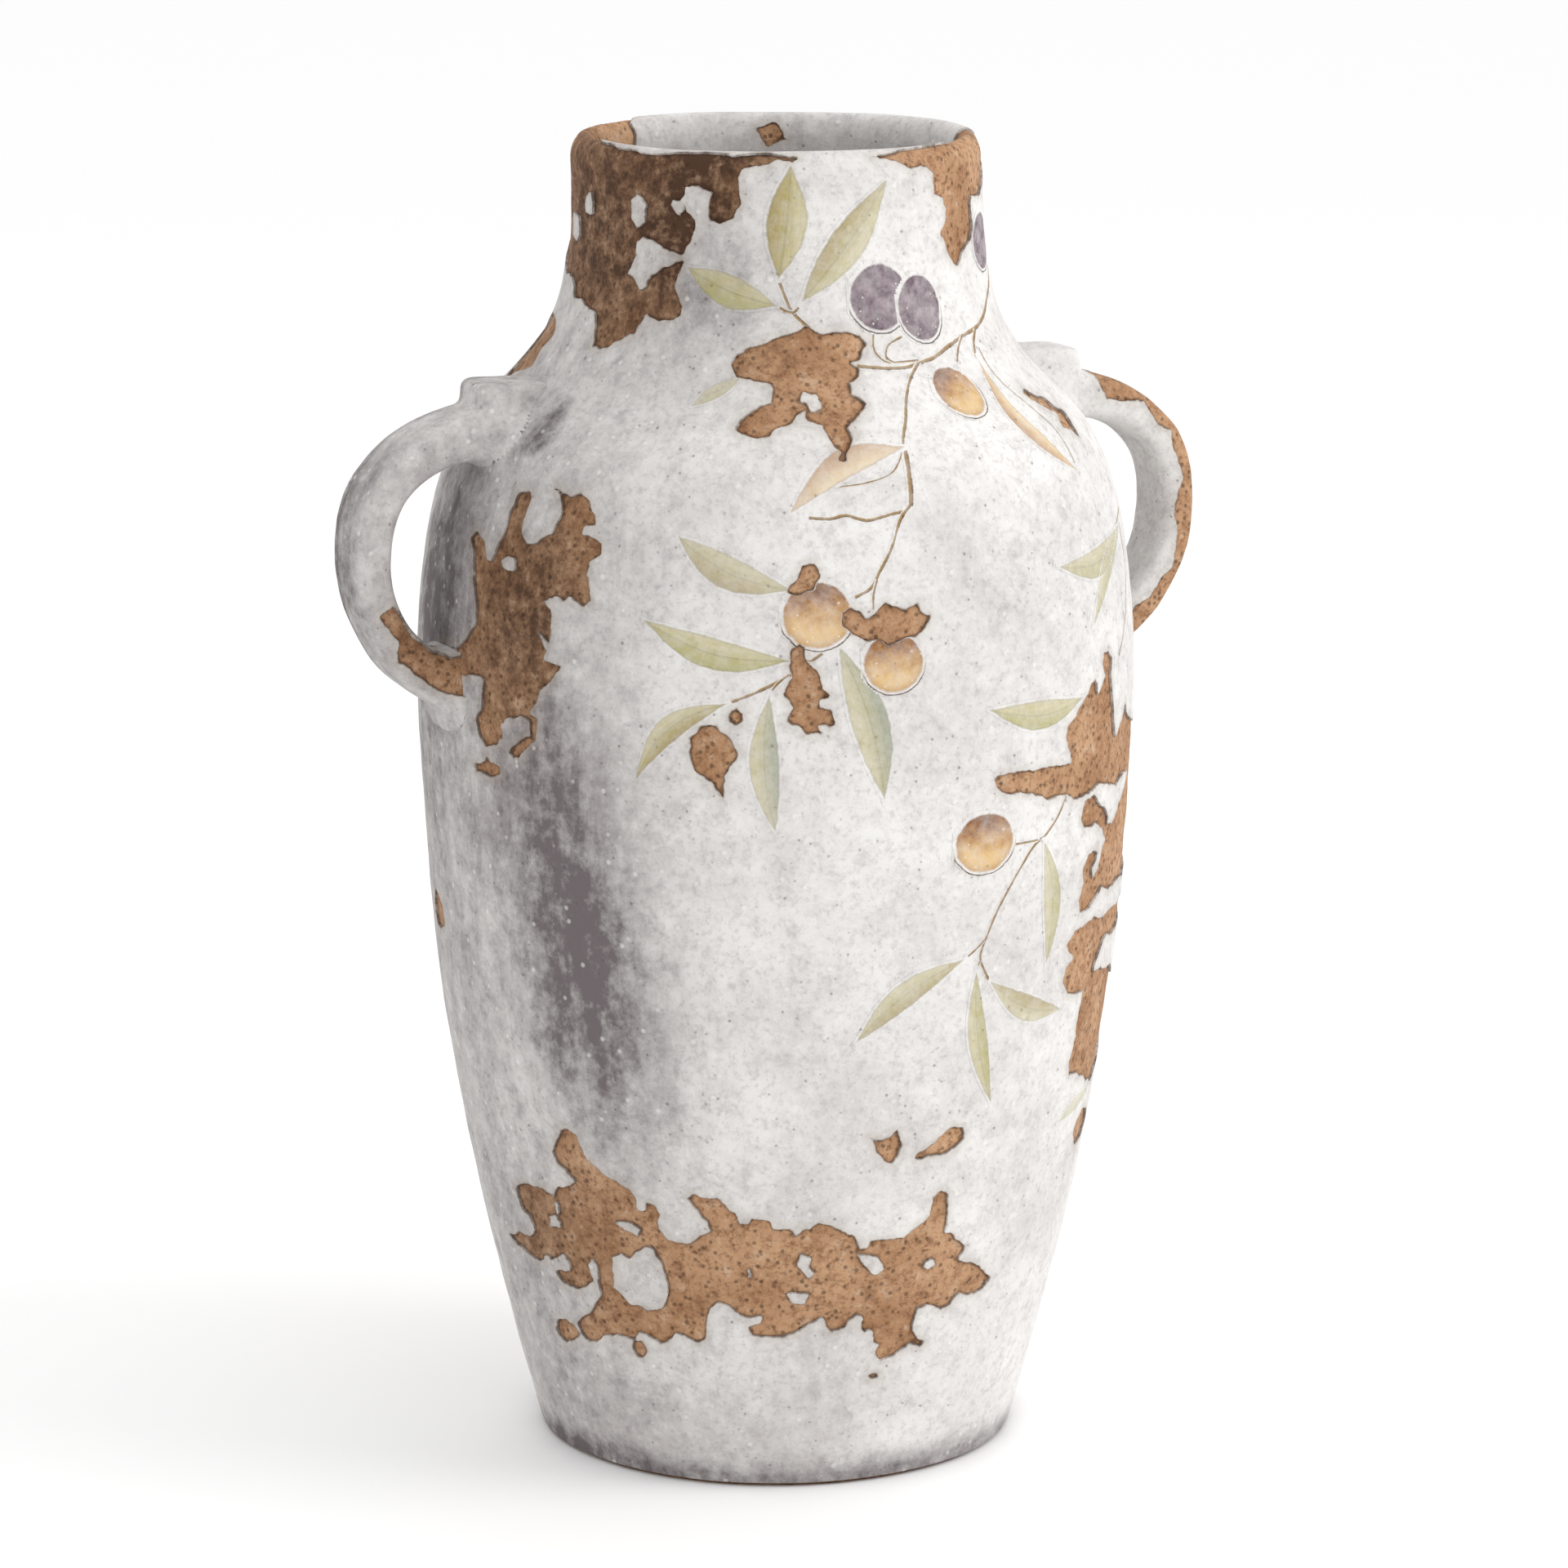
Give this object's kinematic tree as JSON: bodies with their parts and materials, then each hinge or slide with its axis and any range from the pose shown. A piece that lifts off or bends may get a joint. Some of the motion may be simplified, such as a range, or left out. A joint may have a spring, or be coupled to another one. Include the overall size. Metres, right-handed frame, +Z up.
{
  "type": "amphora",
  "caption": "Tall free-standing terracotta amphora with a wide belly, a short straight neck, strap handles on the shoulder and a worn lime coat.",
  "frame": {"origin": "centre of the underside, on the surface the amphora stands on", "axes": "+Z up through the mouth, the two handles lie along X, the painted front faces -Y"},
  "size_m": [0.347, 0.272, 0.5],
  "materials": {
    "terracotta": "unglazed, coarse and weathered, orange brown with darker grime",
    "lime_coat": "matt chalky lime coat, off-white to mottled grey, painted with olive branches and flaked in patches"
  },
  "bodies": {
    "root": {"base_disc": "terracotta", "lower_body": "terracotta", "upper_body": "terracotta", "shoulder": "terracotta", "neck": "terracotta", "lip": "terracotta", "handle_right": "terracotta", "handle_left": "terracotta", "lug_right": "terracotta", "lug_left": "terracotta", "coat_lower_body": "lime_coat", "coat_upper_body": "lime_coat", "coat_shoulder": "lime_coat", "coat_neck": "lime_coat", "coat_mouth": "lime_coat", "coat_handle_right": "lime_coat", "coat_handle_left": "lime_coat"}
  },
  "joints": []
}
